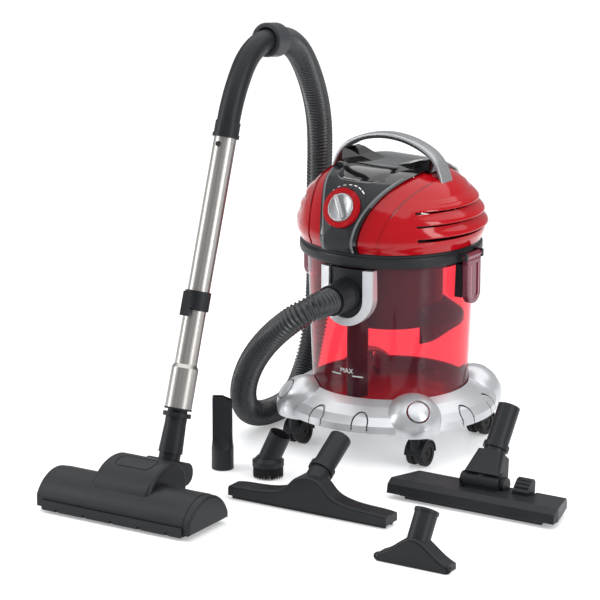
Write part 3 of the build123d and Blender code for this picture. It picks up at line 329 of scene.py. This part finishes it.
def hose_plastic():
    """Soft black plastic of the hose, with a sheen on its ribs."""
    material, shader, tree = new_material("hose_plastic", (0.012, 0.014, 0.016), 0.3)
    shader.inputs["Specular IOR Level"].default_value = 0.6
    place = coordinates(tree)
    broad = noise(tree, place, 26)
    tree.links.new(between(tree, broad, 0.24, 0.34), shader.inputs["Roughness"])
    tree.links.new(blend_colour(tree, broad, (0.009, 0.011, 0.013), (0.015, 0.017, 0.020)),
                   shader.inputs["Base Color"])
    add_bump(tree, shader, noise(tree, place, 1500, 2), 0.05, 0.0002)
    return material


def tinted_clear(name, tint, haze, haze_colour):
    """Clear coloured plastic: light passes with a tint, with gloss outside and a little haze."""
    material = bpy.data.materials.new(name)
    material.use_nodes = True
    tree = material.node_tree
    tree.nodes.remove(tree.nodes["Principled BSDF"])
    clear = tree.nodes.new("ShaderNodeBsdfTransparent")
    dull = tree.nodes.new("ShaderNodeBsdfDiffuse")
    dull.inputs["Color"].default_value = (*haze_colour, 1)
    gloss = tree.nodes.new("ShaderNodeBsdfGlossy")
    fresnel = tree.nodes.new("ShaderNodeFresnel")
    fresnel.inputs["IOR"].default_value = 1.3
    geometry = tree.nodes.new("ShaderNodeNewGeometry")
    front = tree.nodes.new("ShaderNodeMath")
    front.operation = "SUBTRACT"
    front.inputs[0].default_value = 1.0
    tree.links.new(geometry.outputs["Backfacing"], front.inputs[1])
    shine = tree.nodes.new("ShaderNodeMath")
    shine.operation = "MULTIPLY"
    tree.links.new(fresnel.outputs[0], shine.inputs[0])
    tree.links.new(front.outputs[0], shine.inputs[1])
    place = coordinates(tree)
    deeper = [channel * 0.96 for channel in tint]
    tree.links.new(blend_colour(tree, noise(tree, place, 7), deeper, tint), clear.inputs["Color"])
    tree.links.new(between(tree, noise(tree, place, 30), 0.03, 0.07), gloss.inputs["Roughness"])
    body = tree.nodes.new("ShaderNodeMixShader")
    body.inputs["Fac"].default_value = haze
    surface = tree.nodes.new("ShaderNodeMixShader")
    tree.links.new(clear.outputs[0], body.inputs[1])
    tree.links.new(dull.outputs[0], body.inputs[2])
    tree.links.new(shine.outputs[0], surface.inputs["Fac"])
    tree.links.new(body.outputs[0], surface.inputs[1])
    tree.links.new(gloss.outputs[0], surface.inputs[2])
    tree.links.new(surface.outputs[0], tree.nodes["Material Output"].inputs["Surface"])
    return material


MATERIALS = {
    "silver_paint": silver_paint("silver_paint"),
    "tank_red": tinted_clear("tank_red", (0.99, 0.45, 0.50), 0.035, (0.55, 0.30, 0.42)),
    "latch_red": gloss_plastic("latch_red", (0.16, 0.012, 0.035), 0.14),
    "black_plastic": moulded_plastic("black_plastic", (0.011, 0.012, 0.014), 0.42),
    "gloss_black": gloss_plastic("gloss_black", (0.004, 0.004, 0.005), 0.16),
    "red_shell": gloss_plastic("red_shell", (0.40, 0.003, 0.008), 0.13, 0.25),
    "steel_tube": brushed_steel(),
    "rubber": moulded_plastic("rubber", (0.010, 0.010, 0.011), 0.6),
    "soft_grey": moulded_plastic("soft_grey", (0.030, 0.031, 0.036), 0.4),
    "foam": moulded_plastic("foam", (0.05, 0.05, 0.055), 0.9, 1.0),
    "motor_metal": silver_paint("motor_metal", (0.4, 0.4, 0.41), 0.4),
    "bristle": moulded_plastic("bristle", (0.008, 0.008, 0.009), 0.5),
}
HOSE_PLASTIC = hose_plastic()
HANDLE_SILVER = silver_paint("handle_silver", (0.30, 0.305, 0.315), 0.26)
# Dark red of the painted shade along the step in each shell.
CREASE_SHADE_RED = gloss_plastic("painted_crease_shade", (0.07, 0.001, 0.003), 0.2)
PANEL_GREY = moulded_plastic("panel_grey", (0.014, 0.015, 0.017), 0.38)
# Grey of the painted highlight strips on the panel's edges and below the cowl.
EDGE_HIGHLIGHT_GREY = moulded_plastic("painted_edge_highlight", (0.12, 0.125, 0.13), 0.3, 0.1)
INK = moulded_plastic("white_ink", (0.75, 0.75, 0.75), 0.5, 0.1)
WINE_LINE = moulded_plastic("wine_line", (0.45, 0.22, 0.27), 0.3, 0.1)


def dress_nodes():
    """Give every CAD node the material of its slot."""
    slots = {part["node"]: part["material_slot"] for part in frame["record"]["subparts"]}
    for name, node in frame["nodes"].items():
        material = MATERIALS[slots[name]]
        if name == "inlet_housing":
            material = PANEL_GREY
        if not node.material_slots:
            node.data.materials.append(material)
        for place in node.material_slots:
            place.material = material


# ---- mesh helpers --------------------------------------------------------------------------------
def new_piece(name, points, faces, material, body, smooth=True):
    """A mesh piece that rides on a body."""
    mesh = bpy.data.meshes.new(name)
    mesh.from_pydata([tuple(point) for point in points], [], faces)
    mesh.update()
    for face in mesh.polygons:
        face.use_smooth = smooth
    mesh.materials.append(material)
    piece = bpy.data.objects.new(name, mesh)
    bpy.context.collection.objects.link(piece)
    if body:
        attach(piece, body)
    return piece


def ring_faces(rings, around):
    """Faces that join equal rings of points into a tube with closed ends."""
    faces = []
    for ring in range(rings - 1):
        for step in range(around):
            after = (step + 1) % around
            low, high = ring * around, (ring + 1) * around
            faces.append((low + step, low + after, high + after, high + step))
    faces.append(tuple(reversed(range(around))))
    faces.append(tuple(range((rings - 1) * around, rings * around)))
    return faces


# ---- hose ----------------------------------------------------------------------------------------
def nurbs_line(name, stations, order, resolution):
    """Points read from the smooth NURBS line through a list of stations."""
    curve = bpy.data.curves.new(name, "CURVE")
    curve.dimensions = "3D"
    curve.resolution_u = resolution
    spline = curve.splines.new("NURBS")
    spline.points.add(len(stations) - 1)
    for point, place in zip(spline.points, stations):
        point.co = (*place, 1)
    spline.order_u = order
    spline.use_endpoint_u = True
    holder = bpy.data.objects.new(name, curve)
    line = bpy.data.meshes.new_from_object(holder)
    points = [vertex.co.copy() for vertex in line.vertices]
    bpy.data.objects.remove(holder)
    return points


def at_equal_steps(points, step):
    """Places at equal distances along a line of points, with the line's length."""
    lengths = [0.0]
    for before, after in zip(points, points[1:]):
        lengths.append(lengths[-1] + (after - before).length)
    count = ceil(lengths[-1] / step)
    places = []
    index = 0
    for number in range(count + 1):
        distance = lengths[-1] * number / count
        while index < len(points) - 2 and lengths[index + 1] < distance:
            index += 1
        run = max(lengths[index + 1] - lengths[index], 1e-9)
        share = min(1, (distance - lengths[index]) / run)
        places.append(points[index].lerp(points[index + 1], share))
    return places, lengths[-1]


def heading(places, number):
    """Direction of a line of places at one of them."""
    ahead = places[min(number + 1, len(places) - 1)]
    behind = places[max(number - 1, 0)]
    return (ahead - behind).normalized()


def make_hose():
    """Ribbed suction hose along its route between the chassis and the wand."""
    around, per_rib = 28, 8
    line = nurbs_line("hose_route", HOSE_ROUTE, 3, 24)
    places, length = at_equal_steps(line, RIB_PITCH / per_rib)
    side = Vector((1, 0, 0))
    points = []
    for number, place in enumerate(places):
        tangent = heading(places, number)
        side = (side - tangent * side.dot(tangent)).normalized()
        up = tangent.cross(side)
        distance = length * number / (len(places) - 1)
        valley = abs(cos(pi * distance / RIB_PITCH)) ** 1.2
        radius = HOSE_DIAMETER / 2 - RIB_DEPTH * valley
        for step in range(around):
            turn = 2 * pi * step / around
            points.append(place + side * cos(turn) * radius + up * sin(turn) * radius)
    hose = new_piece("ribbed_hose", points, ring_faces(len(places), around),
                     HOSE_PLASTIC, None)
    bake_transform(hose)
    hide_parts("suction_hose")


# ---- surfaces of the frame -----------------------------------------------------------------------
SURFACES = {}


def cast(node, start, direction):
    """Where a ray first meets a CAD node, with the surface's normal there."""
    if node not in SURFACES:
        mesh = frame["nodes"][node].data
        SURFACES[node] = BVHTree.FromPolygons([vertex.co for vertex in mesh.vertices],
                                              [face.vertices for face in mesh.polygons])
    place, normal, _, _ = SURFACES[node].ray_cast(Vector(start), Vector(direction).normalized())
    return place, normal


def turned(point):
    """A point or direction of the head in its turned place."""
    return Matrix.Rotation(HEAD_TURN, 3, "Z") @ Vector(point)


def steps_between(low, high, count):
    """Numbers at equal steps from low to high, both included."""
    return [low + (high - low) * step / count for step in range(count + 1)]


def strip(name, path, half_width, rise, material, body, sunk=0.0004):
    """A low rounded strip along a path of surface places and normals."""
    profile = ((-1, -sunk), (-1, rise * 0.5), (-0.6, rise), (0.6, rise), (1, rise * 0.5), (1, -sunk))
    places = [place for place, _ in path]
    points = []
    for number, (place, normal) in enumerate(path):
        side = normal.cross(heading(places, number)).normalized()
        for across, up in profile:
            points.append(place + side * half_width * across + normal * up)
    return new_piece(name, points, ring_faces(len(path), len(profile)), material, body,
                     smooth=False)


def patch(name, rows, material, body, keep=None):
    """A thin skin over a grid of places."""
    points = [place for row in rows for place in row]
    faces = []
    across = len(rows[0])
    for line in range(len(rows) - 1):
        for step in range(across - 1):
            low, high = line * across + step, (line + 1) * across + step
            face = (low, low + 1, high + 1, high)
            middle = sum((points[index] for index in face), Vector()) / 4
            if keep is None or keep(middle):
                faces.append(face)
    return new_piece(name, points, faces, material, body)


def u_outline(half_width, foot, spring, leg_steps, round_steps):
    """Outline of a U as (across, height): along one leg, round the end, along the other leg."""
    legs = steps_between(foot, spring, leg_steps)
    bulge = half_width if spring > foot else -half_width
    outline = [(-half_width, height) for height in legs]
    for step in range(1, round_steps):
        turn = pi * step / round_steps
        outline.append((-half_width * cos(turn), spring + bulge * sin(turn)))
    return outline + [(half_width, height) for height in reversed(legs)]


def box_like(wave, power):
    """A sine or cosine held near its ends, which turns a round outline into a rounded box."""
    return abs(wave) ** power * (1 if wave > 0 else -1)


# ---- head ----------------------------------------------------------------------------------------
def edge_x(height, gap=0.0, edge=PANEL_EDGE):
    """An edge curve's distance from the middle at a height."""
    (x0, z0), (x1, z1), (x2, z2) = edge
    total = x0 * (height - z1) * (height - z2) / ((z0 - z1) * (z0 - z2))
    total += x1 * (height - z0) * (height - z2) / ((z1 - z0) * (z1 - z2))
    total += x2 * (height - z0) * (height - z1) / ((z2 - z0) * (z2 - z1))
    return total - gap


def head_front(node, x, z):
    """The front of a node of the head at a place seen from ahead."""
    return cast(node, turned((x, -0.3, z)), turned((0, 1, 0)))


def dial_axes():
    """The dial's middle, the way it faces, and right and up on its face."""
    facing = turned((0, -cos(DIAL_TILT), sin(DIAL_TILT)))
    right = turned((1, 0, 0))
    return turned(DIAL_FACE), facing, right, facing.cross(right)


def make_panel():
    """Matte centre of the front panel, with painted highlights (grey strips) along its edges and
    below the cowl.
    """
    middle, facing, _, _ = dial_axes()

    def clear_of_dial(place):
        away = place - middle
        return (away - facing * away.dot(facing)).length > DIAL_CLEAR_R

    rows = []
    for z in steps_between(PANEL_FOOT_Z, COWL_FOOT_Z, 60):
        half = edge_x(z, PANEL_GAP)
        hits = [head_front("centre_cover", half * share, z) for share in steps_between(-1, 1, 40)]
        rows.append([place + normal * 0.0003 for place, normal in hits])
    patch("panel_face", rows, PANEL_GREY, "head", clear_of_dial)
    # Painted highlights: grey strips along both edges of the panel, standing in for light on the
    # edges.
    for name, side in (("panel_highlight_right", 1), ("panel_highlight_left", -1)):
        path = [head_front("centre_cover", side * edge_x(z, HIGHLIGHT_GAP), z)
                for z in steps_between(HIGHLIGHT_FOOT_Z, HIGHLIGHT_TOP_Z, 60)]
        strip(name, path, 0.0019, 0.0014, EDGE_HIGHLIGHT_GREY, "head")
    # Painted highlight: a grey strip along the foot of the cowl.
    path = [head_front("centre_cover", COWL_HALF_WIDTH * share, COWL_FOOT_Z + 0.007 * share ** 4)
            for share in steps_between(-1, 1, 48)]
    strip("cowl_highlight", path, 0.001, 0.001, EDGE_HIGHLIGHT_GREY, "head")


def make_cowl():
    """Glossy rounded cowl between the front panel and the carry handle."""
    rows = []
    for back in steps_between(0, 1, 40):
        half = COWL_HALF_WIDTH - 0.008 * back
        row = []
        for across in steps_between(-1, 1, 48):
            y = -0.100 + 0.066 * back + 0.012 * across ** 4 * (1 - back)
            place, _ = cast("centre_cover", turned((across * half, y, 0.6)), (0, 0, -1))
            rise = COWL_RISE * (1 - across ** 4) ** 0.6 * sin(pi * back ** 0.8) ** 0.7
            row.append(place + Vector((0, 0, rise + 0.0001)))
        rows.append(row)
    patch("cowl", rows, MATERIALS["gloss_black"], "head")


def make_louvres():
    """Rounded lips over the louvres of both shells."""
    first, last = LOUVRE_ENDS
    for name, side in (("right_shell", 1), ("left_shell", -1)):
        uncut = turned((side * cos(UNCUT_ANGLE), sin(UNCUT_ANGLE), 0))
        for number, height in enumerate(LOUVRE_HEIGHTS, 1):
            shell_radii = []
            for rise, _, _ in LOUVRE_PROFILE:
                place, _ = cast(name, uncut * 0.3 + Vector((0, 0, height + rise)), -uncut)
                shell_radii.append(place.to_2d().length)
            rows = []
            for angle in range(first, last + 1):
                out = turned((side * cos(radians(angle)), sin(radians(angle)), 0))
                share = (angle - first) / (last - first)
                bulge = LOUVRE_BULGE * max(0.0, sin(pi * share ** 1.1))
                rows.append([out * (radius + off + bulge * part) + Vector((0, 0, height + rise))
                             for radius, (rise, off, part) in zip(shell_radii, LOUVRE_PROFILE)])
            patch(f"louvre_{name}_{number}", rows, MATERIALS["red_shell"], "head")


def make_crease_shades():
    """Painted shade: a dark red strip along the step in each shell, standing in for the step's
    shadow.
    """
    for name, side in (("right_shell", 1), ("left_shell", -1)):
        path = [head_front(name, side * edge_x(z, edge=CREASE_EDGE), z)
                for z in steps_between(CREASE_FOOT_Z, CREASE_TOP_Z, 48)]
        # Painted shade along the shell's step.
        strip(f"crease_shade_{name}", path, 0.0006, 0.0003, CREASE_SHADE_RED, "head")


def make_handle():
    """Silver carry handle: a crowned strap that widens where it lands on the shells."""
    stations = [(-x, 0, z) for x, z in reversed(HANDLE_LINE[1:])]
    stations += [(x, 0, z) for x, z in HANDLE_LINE]
    line = nurbs_line("handle_line", stations, 4, 8)
    around = 28
    points = []
    for number, place in enumerate(line):
        inward = Vector((0, 1, 0)).cross(heading(line, number))
        share = abs(place.x) / HANDLE_LINE[-1][0]
        wide = HANDLE_HALF_WIDTH + HANDLE_FLARE * share ** 3
        thick = HANDLE_HALF_THICK + HANDLE_CROWN * sin(pi * min(share, 1) ** 3)
        for step in range(around):
            turn = 2 * pi * step / around
            across = Vector((0, wide * box_like(cos(turn), 0.45), 0))
            depth = HANDLE_HALF_THICK - thick * box_like(sin(turn), 0.7)
            points.append(turned(place + across + inward * depth))
    handle = new_piece("handle_strap", points, ring_faces(len(line), around), HANDLE_SILVER,
                       "head")
    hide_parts("carry_handle")


def make_ticks():
    """Arc of white marks round the dial, wider as they go round."""
    middle, facing, right, up = dial_axes()
    for number in range(TICKS):
        start = radians(-50 + number * 14)
        spread = radians(5 + number * 0.9)
        path = []
        for angle in steps_between(start, start + spread, 6):
            away = right * sin(angle) + up * cos(angle)
            path.append(cast("centre_cover", middle + away * TICK_R + facing * 0.06, -facing))
        strip(f"dial_mark_{number + 1}", path, 0.0004 + 0.0001 * number, 0.0005, INK,
              "head")


def make_knob():
    """Silver dial knob: a bevelled dished disc with a tapered grip bar and its spindle."""
    middle, facing, right, up = dial_axes()

    def on_dial(x, y, out):
        return middle + right * x + up * y + facing * out

    around = 96
    points = []
    for radius, out in KNOB_PROFILE:
        for step in range(around):
            turn = 2 * pi * step / around
            points.append(on_dial(radius * cos(turn), radius * sin(turn), out))
    disc = new_piece("knob_disc", points, ring_faces(len(KNOB_PROFILE), around), HANDLE_SILVER,
                     "dial")
    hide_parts("dial_knob")
    around = 48
    along = Vector((-sin(KNOB_TURN), cos(KNOB_TURN)))
    across = Vector((cos(KNOB_TURN), sin(KNOB_TURN)))
    points = []
    for out, half_long, half_wide in KNOB_BAR:
        for step in range(around):
            turn = 2 * pi * step / around
            spot = along * half_long * box_like(cos(turn), 0.35)
            spot += across * half_wide * box_like(sin(turn), 0.6)
            points.append(on_dial(spot.x, spot.y, out))
    new_piece("knob_bar", points, ring_faces(len(KNOB_BAR), around), HANDLE_SILVER,
              "dial")


def make_latch_lines():
    """Pale outline round each latch's window."""
    outline = u_outline(WINDOW_HALF_WIDTH, WINDOW_TOP_Z, WINDOW_ROUND_Z, 1, 12)
    for name, body, side in (("latch_right", "right_latch", 1), ("latch_left", "left_latch", -1)):
        out = turned((side, 0, 0))
        hits = [cast(name, turned((side * 0.2, y * side, z)), -out) for y, z in outline]
        strip(f"{name}_line", [(place, out) for place, _ in hits], 0.0005, 0.0004, WINE_LINE,
              body)


# ---- base and tank -------------------------------------------------------------------------------
def groove_shade_line(name, path, half_width, rise):
    """A black strip in the silver base: painted shade standing in for the shadow in a groove."""
    strip(name, path, half_width, rise, MATERIALS["black_plastic"], "chassis", 0.0002)


def make_groove_shades():
    """Painted shade: black strips in the grooves of the skirt's arches and round the caster caps,
    standing in for the shadow in them.
    """
    arch = u_outline(ARCH_HALF_WIDTH, ARCH_FOOT_Z, ARCH_ROUND_Z, 6, 20)
    # Painted shade in the grooves of the arches.
    for middle in (0, 90, 180, 270):
        for number, offset in enumerate((-ARCH_OFFSET, ARCH_OFFSET), 1):
            angle = radians(middle + offset)
            out = Vector((cos(angle), sin(angle), 0))
            side = Vector((-sin(angle), cos(angle), 0))
            path = [cast("base_ring", out * 0.25 + side * across + Vector((0, 0, z)), -out)
                    for across, z in arch]
            groove_shade_line(f"arch_shade_line_{middle}_{number}", path, 0.0013, 0.0004)
    # Painted shade in the gap round each caster cap.
    for angle in (225, 315, 45, 135):
        flat = Vector((cos(radians(angle)), sin(radians(angle)), 0))
        centre = flat * CAP_FROM_MIDDLE + Vector((0, 0, CAP_Z))
        outward = (flat * 0.766 + Vector((0, 0, 0.643))).normalized()
        across = outward.cross(flat).normalized()
        up = across.cross(outward)
        path = []
        for turn in steps_between(0, 2 * pi, 72):
            ring = (across * cos(turn) + up * sin(turn)) * CAP_RING_R
            place, _ = cast("base_ring", centre + ring + outward * 0.1, -outward)
            path.append((place, outward))
        groove_shade_line(f"cap_shade_ring_{angle}", path, 0.0015, 0.0008)


def on_tank(angle, height, out=0.00015):
    """A place just outside the tank wall at an angle in degrees round it."""
    away = Vector((cos(radians(angle)), sin(radians(angle)), 0))
    place, _ = cast("tank", away * 0.3 + Vector((0, 0, height)), -away)
    return place + away * out


def make_level_mark():
    """Two white bars and a short word on the front of the tank."""
    for number, middle in enumerate(LEVEL_BAR_ANGLES, 1):
        half = LEVEL_BAR_SWEEP / 2
        points = [on_tank(angle, height) for angle in steps_between(middle - half, middle + half, 12)
                  for height in LEVEL_BAR_Z]
        faces = [(2 * step, 2 * step + 2, 2 * step + 3, 2 * step + 1) for step in range(12)]
        new_piece(f"level_bar_{number}", points, faces, INK, "chassis")
    words = bpy.data.curves.new("level_word", "FONT")
    words.body = "MAX"
    words.size = LEVEL_WORD_SIZE
    words.align_x = "CENTER"
    words.resolution_u = 2
    holder = bpy.data.objects.new("level_word", words)
    flat = bpy.data.meshes.new_from_object(holder)
    radius = on_tank(LEVEL_WORD_ANGLE, 0.145).to_2d().length
    points = [on_tank(LEVEL_WORD_ANGLE + vertex.co.x / radius * 180 / pi, LEVEL_WORD_Z + vertex.co.y)
              for vertex in flat.vertices]
    faces = [tuple(face.vertices) for face in flat.polygons]
    bpy.data.objects.remove(holder)
    new_piece("level_letters", points, faces, INK, "chassis", smooth=False)


def make_brush_strands():
    """Bristles of the dusting brush in three close rings."""
    points, faces = [], []
    for ring, (radius, count) in enumerate(BRISTLE_RINGS):
        for number in range(count):
            turn = 2 * pi * (number + 0.37 * ring) / count
            away = Vector((cos(turn), sin(turn), 0))
            side = Vector((-away.y, away.x, 0))
            lean = 0.0006 * sin(number * 2.4 + ring)
            tip_z = 0.0006 + 0.0006 * (number % 3)
            start = len(points)
            for height, thick in ((BRISTLE_TOP_Z, 0.0008), (0.010, 0.0008), (tip_z, 0.0005)):
                shift = lean * (BRISTLE_TOP_Z - height) / 0.02
                centre = BRUSH_AT + away * (radius + shift) + side * shift + Vector((0, 0, height))
                for corner in range(4):
                    at = pi * corner / 2
                    points.append(centre + away * thick * cos(at) + side * thick * sin(at))
            faces += [tuple(start + index for index in face) for face in ring_faces(3, 4)]
    strands = new_piece("brush_strands", points, faces, MATERIALS["bristle"], "duster",
                        smooth=False)
    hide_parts("brush_bristles")


# ---- build ---------------------------------------------------------------------------------------
make_camera()
make_hose()
make_floor()
make_light()
dress_nodes()
make_panel()
make_cowl()
make_louvres()
make_crease_shades()
make_handle()
make_ticks()
make_knob()
make_latch_lines()
make_groove_shades()
make_level_mark()
make_brush_strands()
